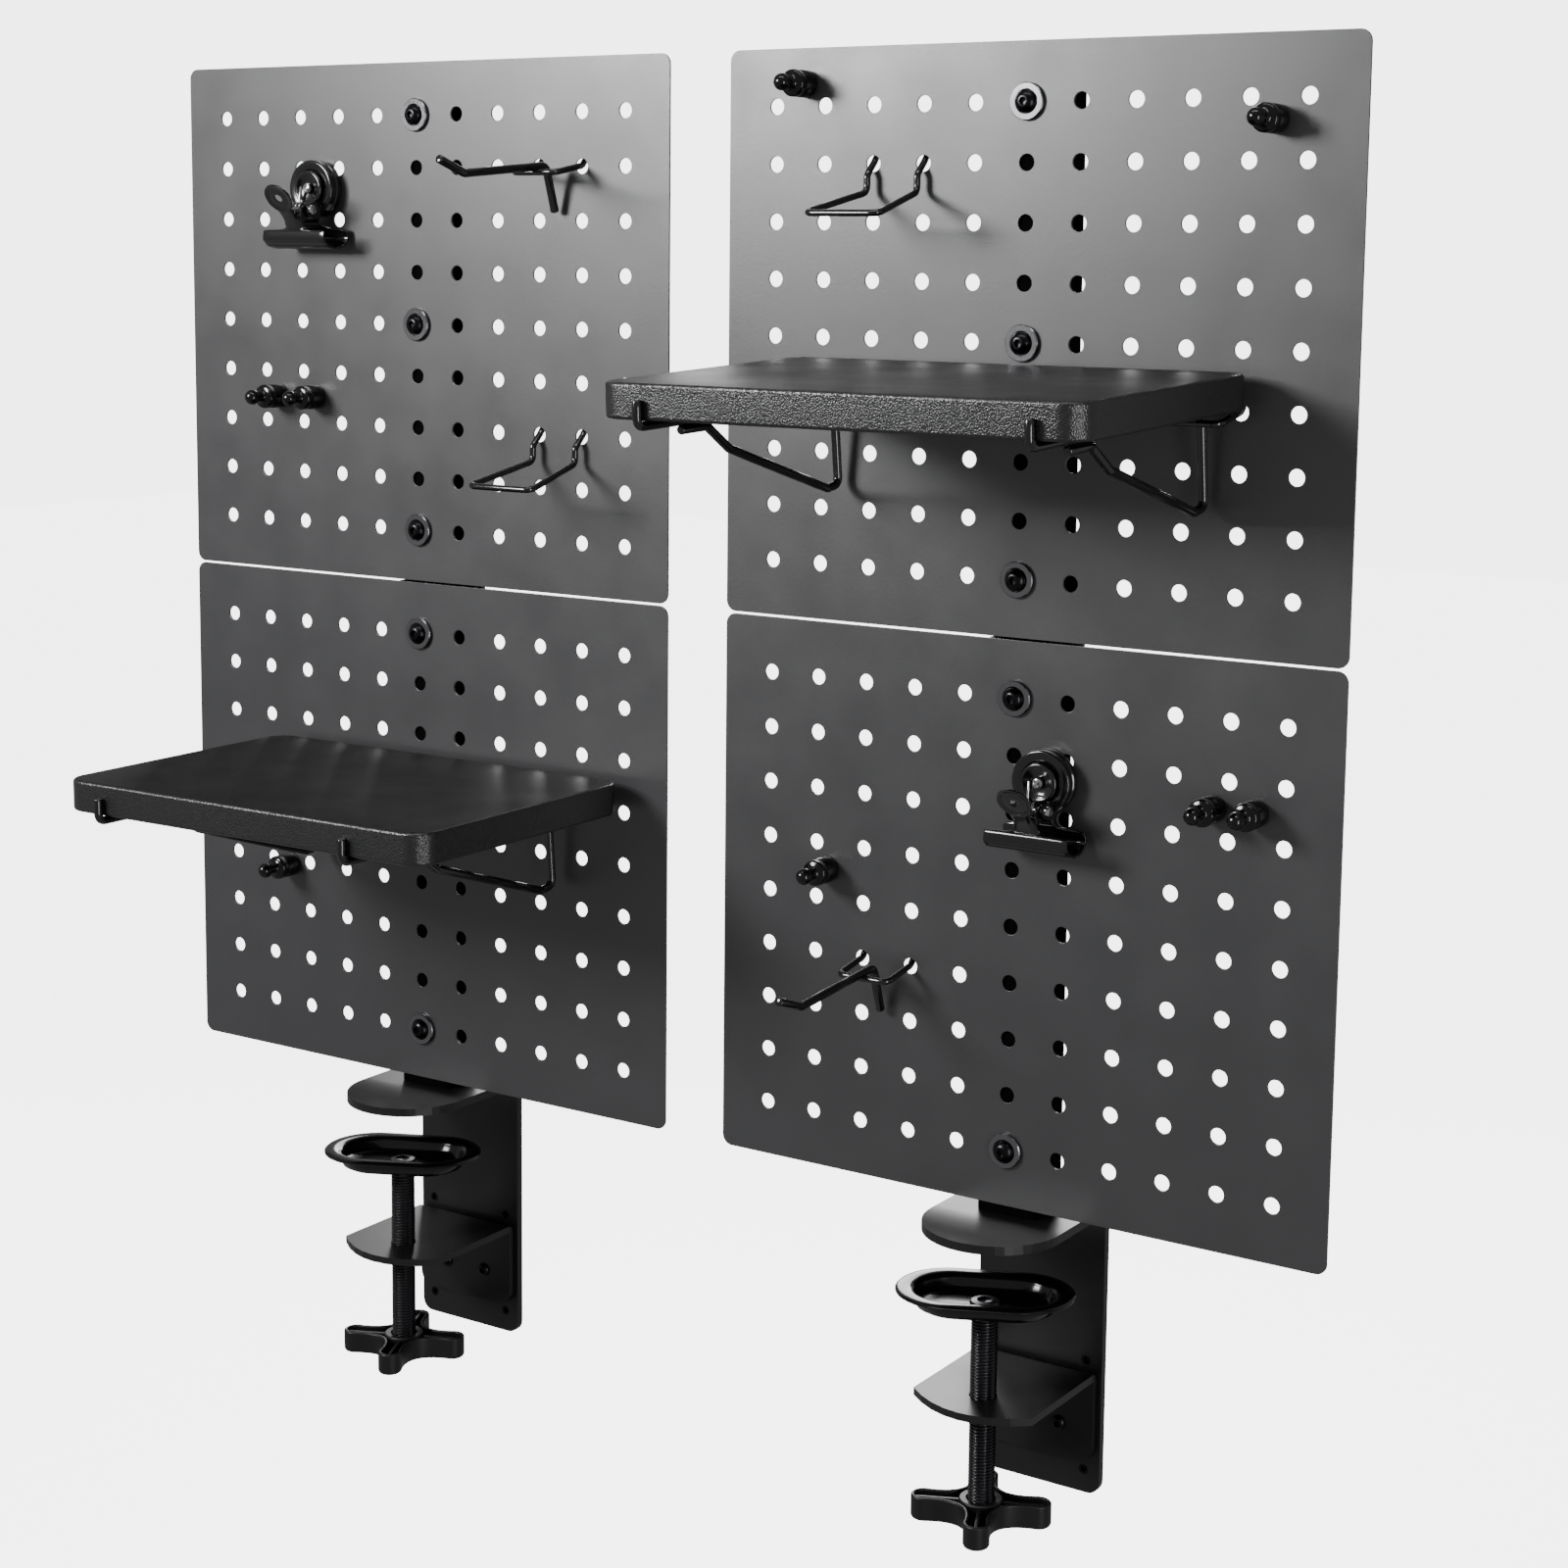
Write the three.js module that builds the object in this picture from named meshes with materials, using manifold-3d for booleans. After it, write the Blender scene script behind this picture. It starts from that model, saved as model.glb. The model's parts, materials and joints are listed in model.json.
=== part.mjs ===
// Desk-clamped pegboard tool wall: two towers side by side, each with two perforated steel
// panels on a post, a screw clamp for the desk edge, and hooks, shelves, magnetic pins and
// magnetic bulldog clips.
// Millimetres. +X right, +Y away from the user, +Z up.
// Origin: midway between the towers, on the desk's top surface and its front-to-back edge,
// which is where the clamps' back plates stand.
import * as THREE from "three";
import { mergeVertices } from "three/addons/utils/BufferGeometryUtils.js";
import Module from "manifold-3d";

const wasm = await Module();
wasm.setup();

// ---------------------------------------------------------------- driving dimensions
const gap = 0.3; // left between pieces that rest on each other
const towerPitch = 338.4; // centre to centre of the two towers

const panel = { columns: 11, rows: 9, pitch: 25.4, margin: 25.4, sheet: 1, hole: 7.2, corner: 5 };
const panelSeam = 1; // between the upper and the lower panel
const panelReach = 36.5; // from the desk edge to a panel's front face
const panelLift = 8.5; // from the desk's top to a lower panel's bottom edge

const post = { width: 30, depth: 25, wall: 1.5, aboveTopRow: 12 };
const postSeam = 1;
const joiner = { width: 36, height: 80, thick: 3 };
const cap = { thick: 2, plug: 7, clearance: 0.4 };
const bolt = { shank: 5, length: 8, washer: 16, washerThick: 1.6, head: 9.6, headHeight: 2.9 };
const boltHoleClearance = 0.5;

const jaw = { width: 64, reach: 78, thick: 4, plateDrop: 133, bend: 6, corner: 6 };
const plateHole = { diameter: 5, spread: 48, top: 70, bottom: 122 };
const arm = { width: 60, side: 62.5, reach: 75.5, thick: 3.5, top: 74.2, flange: 43, bend: 5, corner: 7 };
const armHole = { diameter: 4.2, spread: 25, drop: 27 };
const spindle = { diameter: 12, reach: 52.5, neck: 7.4, head: 12, headHeight: 2 };
const runningGap = 0.3; // radial, between the spindle and the holes it runs in
const pad = { length: 80, width: 50, rim: 2, dishLength: 64, dishWidth: 36, depth: 9, wall: 2 };
const throat = 25; // from the jaw's underside to the pad
const padTurn = 25; // degrees the pad stands turned about the spindle
const knob = { tipReach: 31.5, tip: 6, valley: 13, height: 11, top: 122, hub: 10, rib: 2, wall: 2.2 };
const knobPocket = 9;
const knobSocket = 9;

const hook = { wire: 3, spread: panel.pitch, tailRise: 8, tailBack: 7 };
const loopHook = { standOff: 5, drop: 12.5, reach: 46, fall: 22, frontWidth: 37 };
const prongHook = { wire: 4, top: 11, bend: 70, bendFall: 5, tip: 88, tipRise: 1, legFoot: 4, legDrop: 21.5 };
const crossBar = { reach: 20, fall: 3.3 };
const weldSink = 0.7; // how far two wires are sunk into each other where they are welded

const board = { width: 222, depth: 148, thick: 15, standOff: 6, corner: 12, boardRest: 2 };
const bracket = { wire: 4, lipRise: 11, legTop: 10, legFoot: 7, drop: 39, footBend: 16 };
const brace = { shoulder: 92, shoulderDrop: 15, tipStart: 108, tipEnd: 127 };

const pin = { body: 12, bodyLength: 12.5, collar: 9, neck: 4.6, ball: 7.6, length: 24 };

const cup = { diameter: 28, depth: 8.5, recess: 17, recessDepth: 1.5, stud: 4, studLength: 3.2 };
const clip = { sheet: 1, head: 16, neck: 12, jaw: 40.5, pivotOut: 16, pivotDrop: 10.5, eyelet: 16 };
const clipPin = { diameter: 3, head: 5, headThick: 1.2 };
const ear = { rear: 7, front: 5.2, thick: 0.9, hole: 3.8 };
const spring = { wire: 0.9, coil: 3.2, turns: 3, halfLength: 3.6 };

// ---------------------------------------------------------------- derived places
const panelWidth = 2 * panel.margin + (panel.columns - 1) * panel.pitch;
const panelHeight = 2 * panel.margin + (panel.rows - 1) * panel.pitch;
const panelFront = -panelReach;
const panelBack = panelFront + panel.sheet;
const lowerPanelZ = panelLift;
const upperPanelZ = lowerPanelZ + panelHeight + panelSeam;
const seamZ = upperPanelZ - panelSeam / 2;
const postFront = panelBack + gap;
const postBack = postFront + post.depth;
const postTop = upperPanelZ + panelHeight - panel.margin + post.aboveTopRow;
const spindleY = -spindle.reach;
const padTop = -throat;

const columnX = (column) => (column - (panel.columns + 1) / 2) * panel.pitch;
const rowZ = (panelZ, row) => panelZ + panelHeight - panel.margin - (row - 1) * panel.pitch;
const radians = THREE.MathUtils.degToRad;

// ---------------------------------------------------------------- materials
const finish = (color, roughness, metalness) =>
  new THREE.MeshStandardMaterial({ color, roughness, metalness });
const materials = {
  panel: finish(0x4d4d4f, 0.62, 0.1),
  frame: finish(0x1b1b1c, 0.5, 0.1),
  padEnamel: finish(0x0c0c0d, 0.22, 0.1),
  knob: finish(0x141415, 0.5, 0),
  screw: finish(0x1d1d1f, 0.35, 0.8),
  wire: finish(0x0e0e0f, 0.28, 0.1),
  board: finish(0x161617, 0.6, 0),
  pin: finish(0x0c0c0d, 0.18, 0),
  clip: finish(0x121213, 0.2, 0.6),
  rivet: finish(0xb8b8ba, 0.25, 1),
  cap: finish(0x161617, 0.55, 0),
};

// ---------------------------------------------------------------- solids
// A closed solid from any closed three.js geometry.
function solid(geometry) {
  geometry.deleteAttribute("normal");
  geometry.deleteAttribute("uv");
  const welded = mergeVertices(geometry, 1e-4);
  const index = welded.index.array;
  const kept = [];
  for (let i = 0; i < index.length; i += 3) {
    const [a, b, c] = [index[i], index[i + 1], index[i + 2]];
    if (a !== b && b !== c && c !== a) kept.push(a, b, c);
  }
  return new wasm.Manifold(
    new wasm.Mesh({
      numProp: 3,
      vertProperties: new Float32Array(welded.attributes.position.array),
      triVerts: new Uint32Array(kept),
    }),
  );
}

const unite = (first, ...rest) => rest.reduce((whole, next) => whole.add(next), first);
const cut = (first, ...rest) => rest.reduce((whole, next) => whole.subtract(next), first);
const common = (first, ...rest) => rest.reduce((whole, next) => whole.intersect(next), first);

function namedMesh(name, body, material) {
  const { vertProperties, triVerts } = body.getMesh();
  const geometry = new THREE.BufferGeometry();
  geometry.setAttribute("position", new THREE.BufferAttribute(vertProperties, 3));
  geometry.setIndex(new THREE.BufferAttribute(triVerts, 1));
  geometry.computeVertexNormals();
  const mesh = new THREE.Mesh(geometry, material);
  mesh.name = name;
  return mesh;
}

// An outline pushed from one height to another. The plane names the directions of the
// outline's own x and y: "xy" is pushed along Z, "xz" along Y and "yz" along X.
function prism(shape, from, to, plane = "xy", curveSegments = 6) {
  const geometry = new THREE.ExtrudeGeometry(shape, { depth: to - from, bevelEnabled: false, curveSegments });
  const [x, y, z] = [new THREE.Vector3(1, 0, 0), new THREE.Vector3(0, 1, 0), new THREE.Vector3(0, 0, 1)];
  if (plane === "xy") geometry.translate(0, 0, from);
  if (plane === "yz") {
    geometry.applyMatrix4(new THREE.Matrix4().makeBasis(y, z, x)).translate(from, 0, 0);
  }
  if (plane === "xz") {
    geometry.applyMatrix4(new THREE.Matrix4().makeBasis(x, z, y.negate())).translate(0, to, 0);
  }
  return solid(geometry);
}

// A turned piece: [radius, height] pairs from the bottom of the axis to its top.
function turned(profile, segments = 14) {
  const points = profile.map(([radius, height]) => new THREE.Vector2(radius, height));
  return solid(new THREE.LatheGeometry(points, segments).rotateX(Math.PI / 2));
}

const rod = (diameter, from, to, segments = 14) =>
  turned([[0, from], [diameter / 2, from], [diameter / 2, to], [0, to]], segments);

// The same turned about an axis that points at the user, starting from the panel.
const facingUser = (body) => body.rotate([90, 0, 0]);
const alongX = (body) => body.rotate([0, 90, 0]);

// ---------------------------------------------------------------- outlines
function roundedRectangle(x0, y0, x1, y1, radius) {
  const shape = new THREE.Shape();
  shape.absarc(x1 - radius, y0 + radius, radius, -Math.PI / 2, 0);
  shape.absarc(x1 - radius, y1 - radius, radius, 0, Math.PI / 2);
  shape.absarc(x0 + radius, y1 - radius, radius, Math.PI / 2, Math.PI);
  shape.absarc(x0 + radius, y0 + radius, radius, Math.PI, 1.5 * Math.PI);
  return shape;
}

function rectangle(x0, y0, x1, y1) {
  return polygon([[x0, y0], [x1, y0], [x1, y1], [x0, y1]]);
}

function polygon(points) {
  return new THREE.Shape(points.map(([x, y]) => new THREE.Vector2(x, y)));
}

function regularPolygon(radius, sides, x = 0, y = 0) {
  const corner = (_, i) => {
    const angle = (2 * Math.PI * (i + 0.5)) / sides;
    return [x + radius * Math.cos(angle), y + radius * Math.sin(angle)];
  };
  return Array.from({ length: sides }, corner);
}

function stadium(length, width) {
  const [half, radius] = [(length - width) / 2, width / 2];
  const shape = new THREE.Shape();
  shape.absarc(half, 0, radius, -Math.PI / 2, Math.PI / 2);
  shape.absarc(-half, 0, radius, Math.PI / 2, 1.5 * Math.PI);
  return shape;
}

// A strip of sheet metal seen from its edge: the outline at half the thickness each side of
// a centre line.
function stripEdge(line, thickness) {
  const sides = [[], []];
  line.forEach(([x, y], i) => {
    const before = line[Math.max(i - 1, 0)];
    const after = line[Math.min(i + 1, line.length - 1)];
    const run = new THREE.Vector2(after[0] - before[0], after[1] - before[1]).normalize();
    sides[0].push([x + (run.y * thickness) / 2, y - (run.x * thickness) / 2]);
    sides[1].unshift([x - (run.y * thickness) / 2, y + (run.x * thickness) / 2]);
  });
  return polygon([...sides[0], ...sides[1]]);
}

// ---------------------------------------------------------------- wires
// A curve that goes through its given points exactly, with the tangent of its neighbours.
class PointPath extends THREE.Curve {
  constructor(points) {
    super();
    this.points = points;
  }

  getSpacedPoints() {
    return this.points;
  }

  getTangentAt(u) {
    const i = Math.round(u * (this.points.length - 1));
    const before = this.points[Math.max(i - 1, 0)];
    const here = this.points[i];
    const after = this.points[Math.min(i + 1, this.points.length - 1)];
    const into = here.clone().sub(before).normalize();
    const out = after.clone().sub(here).normalize();
    return into.add(out).normalize();
  }
}

// A bent wire: corners joined by straight stretches, each bend an arc of bendSteps chords.
function wire(corners, diameter, bendRadius, sides = 6, bendSteps = 2) {
  const at = corners.map(([x, y, z]) => new THREE.Vector3(x, y, z));
  const points = [at[0]];
  for (let i = 1; i < at.length - 1; i += 1) {
    const into = at[i].clone().sub(at[i - 1]);
    const out = at[i + 1].clone().sub(at[i]);
    const turn = into.angleTo(out) / 2;
    const reach = Math.min(bendRadius * Math.tan(turn), into.length() * 0.45, out.length() * 0.45);
    const start = at[i].clone().addScaledVector(into.normalize(), -reach);
    const end = at[i].clone().addScaledVector(out.normalize(), reach);
    const bend = new THREE.QuadraticBezierCurve3(start, at[i], end);
    points.push(...bend.getPoints(bendSteps));
  }
  points.push(at.at(-1));
  return tube(points, diameter, sides);
}

function tube(points, diameter, sides) {
  const section = polygon(regularPolygon(diameter / 2, sides));
  const settings = { steps: points.length - 1, bevelEnabled: false, extrudePath: new PointPath(points) };
  return solid(new THREE.ExtrudeGeometry(section, settings));
}

// ---------------------------------------------------------------- panels and posts
function pegPanel(name, z) {
  const shape = roundedRectangle(-panelWidth / 2, z, panelWidth / 2, z + panelHeight, panel.corner);
  for (let row = 1; row <= panel.rows; row += 1) {
    for (let column = 1; column <= panel.columns; column += 1) {
      const corners = regularPolygon(panel.hole / 2, 6, columnX(column), rowZ(z, row));
      shape.holes.push(polygon(corners.reverse()));
    }
  }
  return namedMesh(name, prism(shape, panelFront, panelBack, "xz", 2), materials.panel);
}

// A rectangular tube with a hole in its front wall for each panel bolt.
function postTube(name, from, to, boltHeights) {
  const half = post.width / 2;
  const outline = roundedRectangle(-half, postFront, half, postBack, 2);
  const innerHalf = half - post.wall;
  const inner = roundedRectangle(-innerHalf, postFront + post.wall, innerHalf, postBack - post.wall, 1);
  const holes = boltHeights.map((z) =>
    facingUser(rod(bolt.shank + 2 * boltHoleClearance, 0, 3 * post.wall, 6))
      .translate([0, postFront + 2 * post.wall, z]),
  );
  const body = cut(prism(outline, from, to, "xy", 1), prism(inner, from - 1, to + 1, "xy", 1), ...holes);
  return namedMesh(name, body, materials.frame);
}

function panelBolt(name, z) {
  const under = bolt.washerThick + gap;
  const head = under + bolt.headHeight;
  const profile = [
    [0, -bolt.length],
    [bolt.shank / 2, -bolt.length],
    [bolt.shank / 2, gap],
    [bolt.washer / 2, gap],
    [bolt.washer / 2, under],
    [bolt.head / 2, under],
    [bolt.head * 0.4, under + bolt.headHeight * 0.7],
    [bolt.head * 0.22, head],
    [0, head],
  ];
  const mesh = namedMesh(name, facingUser(turned(profile, 8)), materials.screw);
  mesh.position.set(0, panelFront, z);
  return mesh;
}

function seamJoiner(name) {
  const half = joiner.width / 2;
  const outline = roundedRectangle(-half, seamZ - joiner.height / 2, half, seamZ + joiner.height / 2, 3);
  const front = postBack + gap;
  return namedMesh(name, prism(outline, front, front + joiner.thick, "xz", 2), materials.frame);
}

function postCap(name) {
  const inset = post.wall + cap.clearance;
  const half = post.width / 2;
  const lid = roundedRectangle(-half, postFront, half, postBack, 2);
  const plug = rectangle(-half + inset, postFront + inset, half - inset, postBack - inset);
  const body = unite(
    prism(lid, postTop + gap, postTop + gap + cap.thick, "xy", 2),
    prism(plug, postTop - cap.plug, postTop + gap + cap.thick / 2),
  );
  return namedMesh(name, body, materials.cap);
}

// ---------------------------------------------------------------- clamp
// The upper jaw and the back plate are one bent plate. Its half-round nose points at the user.
function clampFrame(name) {
  const half = jaw.width / 2;
  const rear = jaw.thick;
  const edge = new THREE.Shape();
  edge.moveTo(-jaw.reach, 0);
  edge.lineTo(0, 0);
  edge.lineTo(0, -jaw.plateDrop);
  edge.lineTo(rear, -jaw.plateDrop);
  edge.lineTo(rear, rear - jaw.bend);
  edge.absarc(rear - jaw.bend, rear - jaw.bend, jaw.bend, 0, Math.PI / 2);
  edge.lineTo(-jaw.reach, rear);
  const plan = new THREE.Shape();
  plan.absarc(0, -jaw.reach + half, half, Math.PI, 2 * Math.PI);
  plan.lineTo(half, rear + 1);
  plan.lineTo(-half, rear + 1);
  const front = roundedRectangle(-half, -jaw.plateDrop, half, 2 * half, jaw.corner);
  const holes = [-1, 1].flatMap((side) =>
    [plateHole.top, plateHole.bottom].map((drop) =>
      facingUser(rod(plateHole.diameter, -2 * rear, rear, 8))
        .translate([(side * plateHole.spread) / 2, 0, -drop]),
    ),
  );
  const body = common(
    prism(edge, -half, half, "yz", 4),
    prism(plan, -jaw.plateDrop - 1, rear + 1, "xy", 12),
    prism(front, -jaw.reach - 1, rear + 1, "xz", 3),
  );
  return namedMesh(name, cut(body, ...holes), materials.frame);
}

// The lower arm: a bent bracket on the back plate, with the threaded hole for the spindle.
function clampArm(name) {
  const half = arm.width / 2;
  const rear = -gap;
  const inner = rear - arm.thick;
  const bottom = -arm.top - arm.flange;
  const edge = new THREE.Shape();
  edge.moveTo(-arm.reach, -arm.top - arm.thick);
  edge.lineTo(inner, -arm.top - arm.thick);
  edge.lineTo(inner, bottom);
  edge.lineTo(rear, bottom);
  edge.lineTo(rear, -arm.top - arm.bend);
  edge.absarc(rear - arm.bend, -arm.top - arm.bend, arm.bend, 0, Math.PI / 2);
  edge.lineTo(-arm.reach, -arm.top);
  const plan = new THREE.Shape();
  plan.moveTo(half, 0);
  plan.lineTo(-half, 0);
  plan.lineTo(-half, -arm.side);
  plan.quadraticCurveTo(0, -2 * arm.reach + arm.side, half, -arm.side);
  const front = roundedRectangle(-half, bottom, half, 0, arm.corner);
  const holes = [-1, 1].map((side) =>
    facingUser(rod(armHole.diameter, -1, 2 * arm.thick, 8))
      .translate([(side * armHole.spread) / 2, 0, -arm.top - armHole.drop]),
  );
  const bore = rod(spindle.diameter + 2 * runningGap + 0.3, -arm.top - 2 * arm.thick, -arm.top + 1);
  const body = common(
    prism(edge, -half, half, "yz", 4),
    prism(plan, bottom - 1, 0, "xy", 8),
    prism(front, -2 * arm.reach, 1, "xz", 3),
  );
  return namedMesh(name, cut(body, bore.translate([0, spindleY, 0]), ...holes), materials.frame);
}

// A pressed oval dish: a flat rim and a sunk floor that turns on the spindle's neck.
function clampPad(name) {
  const floor = padTop - pad.depth;
  const body = cut(
    unite(
      prism(stadium(pad.length, pad.width), padTop - pad.rim, padTop, "xy", 8),
      prism(stadium(pad.dishLength, pad.dishWidth), floor, padTop - pad.rim / 2, "xy", 6),
    ),
    prism(stadium(pad.dishLength - 2 * pad.wall, pad.dishWidth - 2 * pad.wall), floor + pad.wall, padTop + 1, "xy", 6),
    rod(spindle.neck + 2 * runningGap, floor - 1, floor + pad.wall + 1),
  );
  const mesh = namedMesh(name, body, materials.padEnamel);
  mesh.position.set(0, spindleY, 0);
  mesh.rotation.z = radians(padTurn);
  return mesh;
}

function clampSpindle(name) {
  const shoulder = padTop - pad.depth - gap;
  const floor = padTop - pad.depth + pad.wall + gap;
  const bottom = -knob.top - knobSocket + gap;
  const profile = [
    [0, bottom],
    [spindle.diameter / 2, bottom],
    [spindle.diameter / 2, shoulder],
    [spindle.neck / 2, shoulder],
    [spindle.neck / 2, floor],
    [spindle.head / 2, floor],
    [spindle.head / 2, floor + spindle.headHeight],
    [0, floor + spindle.headHeight],
  ];
  const mesh = namedMesh(name, turned(profile), materials.screw);
  mesh.position.set(0, spindleY, 0);
  return mesh;
}

// A four-armed star, its tips rounded and its sides hollowed in to the valley radius.
function starOutline(tip, valley) {
  const reach = knob.tipReach - knob.tip;
  const arms = 4;
  const shape = new THREE.Shape();
  const tipEdge = (turn, side) => [
    reach * Math.cos(turn) - side * tip * Math.sin(turn),
    reach * Math.sin(turn) + side * tip * Math.cos(turn),
  ];
  for (let i = 0; i < arms; i += 1) {
    const turn = (2 * Math.PI * i) / arms;
    const next = (2 * Math.PI * (i + 1)) / arms;
    const [x, y] = [reach * Math.cos(turn), reach * Math.sin(turn)];
    shape.absarc(x, y, tip, turn - Math.PI / 2, turn + Math.PI / 2);
    const mid = (turn + next) / 2;
    const pull = 2 * valley - (reach + tip) * Math.SQRT1_2;
    const [endX, endY] = tipEdge(next, -1);
    shape.quadraticCurveTo(pull * Math.cos(mid), pull * Math.sin(mid), endX, endY);
  }
  return shape;
}

function clampKnob(name) {
  const top = -knob.top;
  const inner = starOutline(knob.tip - knob.wall, knob.valley - knob.wall);
  const rib = (x, y) => prism(rectangle(-x, -y, x, y), top - knobPocket, top);
  const pockets = cut(
    prism(inner, top - knobPocket, top + 1, "xy", 3),
    rod(2 * knob.hub, top - knobPocket - 1, top + 2, 12),
    rib(knob.tipReach, knob.rib / 2),
    rib(knob.rib / 2, knob.tipReach),
  );
  const body = cut(
    prism(starOutline(knob.tip, knob.valley), top - knob.height, top, "xy", 3),
    pockets,
    rod(spindle.diameter + 2 * gap + 0.3, top - knobSocket, top + 1),
  );
  const mesh = namedMesh(name, body, materials.knob);
  mesh.position.set(0, spindleY, 0);
  mesh.rotation.z = radians(padTurn);
  return mesh;
}

// ---------------------------------------------------------------- hooks
// Both ends of a hook rise behind the panel and come forward through two holes of one row.
// A thicker wire crosses its hole lower, so that the rising tail clears the hole's upper edge.
const holeCrossing = panel.hole / 4 - hook.wire / 2;
const tail = (side) => [
  [(side * hook.spread) / 2, hook.tailBack, hook.tailRise],
  [(side * hook.spread) / 2, panel.sheet / 2, holeCrossing],
];

function placeOnPanel(mesh, columnsMiddle, z) {
  mesh.position.set(columnX(columnsMiddle), panelFront, z);
  return mesh;
}

function loopHookMesh(name) {
  const side = (s) => [
    ...tail(s),
    [(s * hook.spread) / 2, -loopHook.standOff, -loopHook.standOff],
    [(s * hook.spread) / 2, -loopHook.standOff, -loopHook.drop],
    [(s * loopHook.frontWidth) / 2, -loopHook.reach, -loopHook.fall],
  ];
  const body = wire([...side(-1), ...side(1).reverse()], hook.wire, 4);
  return namedMesh(name, body, materials.wire);
}

function crossBarWire(fall) {
  const side = (s) => [
    ...tail(s),
    [(s * hook.spread) / 2, -crossBar.reach, -fall],
  ];
  return wire([...side(-1), ...side(1).reverse()], hook.wire, 4);
}

function prongHookMesh(name) {
  const prong = wire(
    [
      [0, -prongHook.tip, prongHook.tipRise],
      [0, -prongHook.bend, -prongHook.bendFall],
      [0, -prongHook.top, 0],
      [0, -prongHook.legFoot, -prongHook.legDrop],
    ],
    prongHook.wire,
    4,
  );
  return namedMesh(name, unite(prong, crossBarWire(crossBar.fall)), materials.wire);
}

// ---------------------------------------------------------------- shelves
// One wire makes the lip, the arm, the leg and the brace. A cross bar hangs it in two holes.
function bracketMesh(name) {
  const lipFront = -board.standOff - board.depth - gap - bracket.wire / 2;
  const armZ = board.boardRest - gap - bracket.wire / 2;
  const tipZ = armZ - bracket.wire + 0.2;
  const body = wire(
    [
      [0, lipFront, armZ + bracket.lipRise],
      [0, lipFront, armZ],
      [0, -bracket.legTop, armZ],
      [0, -bracket.legFoot, -bracket.drop],
      [0, -bracket.footBend, -bracket.drop - 1],
      [0, -brace.shoulder, -brace.shoulderDrop],
      [0, -brace.tipStart, tipZ],
      [0, -brace.tipEnd, tipZ],
    ],
    bracket.wire,
    4,
  );
  const barFall = (bracket.wire + hook.wire) / 2 - armZ - weldSink;
  return namedMesh(name, unite(body, crossBarWire(barFall)), materials.wire);
}

function boardMesh(name) {
  const half = board.width / 2;
  const rear = -board.standOff;
  const outline = roundedRectangle(-half, rear - board.depth, half, rear, board.corner);
  return namedMesh(name, prism(outline, board.boardRest, board.boardRest + board.thick, "xy", 4), materials.board);
}

// ---------------------------------------------------------------- magnetic pins and clips
function magnetPin(name) {
  const [body, ball] = [pin.body / 2, pin.ball / 2];
  const centre = pin.length - ball;
  const belt = (angle) => [ball * Math.cos(radians(angle)), centre + ball * Math.sin(radians(angle))];
  const profile = [
    [0, gap],
    [body, gap],
    [body, pin.bodyLength - 1.5],
    [pin.collar / 2, pin.bodyLength],
    [pin.neck / 2, pin.bodyLength + 1.5],
    [pin.neck / 2, centre - ball + 1],
    belt(-30),
    belt(15),
    belt(60),
    [0, pin.length],
  ];
  return namedMesh(name, facingUser(turned(profile, 8)), materials.pin);
}

function magnetCup(name) {
  const profile = [
    [0, gap],
    [cup.diameter / 2, gap],
    [cup.diameter / 2, cup.depth],
    [cup.recess / 2, cup.depth],
    [cup.recess / 2, cup.depth - cup.recessDepth],
    [cup.stud / 2, cup.depth - cup.recessDepth],
    [cup.stud / 2, cup.depth + cup.studLength],
    [0, cup.depth + cup.studLength],
  ];
  return namedMesh(name, facingUser(turned(profile, 14)), materials.clip);
}

const pivot = { y: -clip.pivotOut, z: -clip.pivotDrop };

// Two ears that reach from a leaf to the pivot pin.
function ears(offset, corners) {
  const hole = alongX(rod(ear.hole, -2 * offset, 2 * offset, 10)).translate([0, pivot.y, pivot.z]);
  const pair = [-1, 1].map((side) => {
    const middle = side * offset;
    return prism(polygon(corners), middle - ear.thick / 2, middle + ear.thick / 2, "yz");
  });
  return cut(unite(...pair), hole);
}

// The rear leaf is screwed to the magnet cup. Its lower end is the rear half of the mouth.
function rearLeaf(name) {
  const face = -cup.depth - gap - clip.sheet / 2;
  const mouth = [[-6.6, -18.6], [-3.6, -21], [-3.6, -24.5], [-6.6, -27.8], [-10.8, -29.4]];
  const line = [[face, 9], [face, -15.4], ...mouth];
  const half = clip.jaw / 2;
  const front = unite(
    prism(new THREE.Shape().absarc(0, 0, clip.head / 2, 0, 2 * Math.PI), -20, 5, "xz", 8),
    prism(rectangle(-clip.neck / 2, -21.5, clip.neck / 2, 0), -20, 5, "xz"),
    prism(roundedRectangle(-half, -31, half, -20, 2), -20, 5, "xz", 2),
  );
  const sheet = common(prism(stripEdge(line, clip.sheet), -half, half, "yz"), front);
  const earShape = [[face, -6], [face, -15.5], [pivot.y - 2, pivot.z - 2.6], [pivot.y - 2, pivot.z + 2.6]];
  const stud = facingUser(rod(cup.stud + 2 * gap, 0, 2 * cup.depth, 10));
  const reach = ear.rear + ear.thick / 2;
  const wings = prism(rectangle(-reach, -15.5, reach, -6), face - clip.sheet / 2, face + clip.sheet / 2, "xz");
  return namedMesh(name, cut(unite(sheet, wings, ears(ear.rear, earShape)), stud), materials.clip);
}

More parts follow.
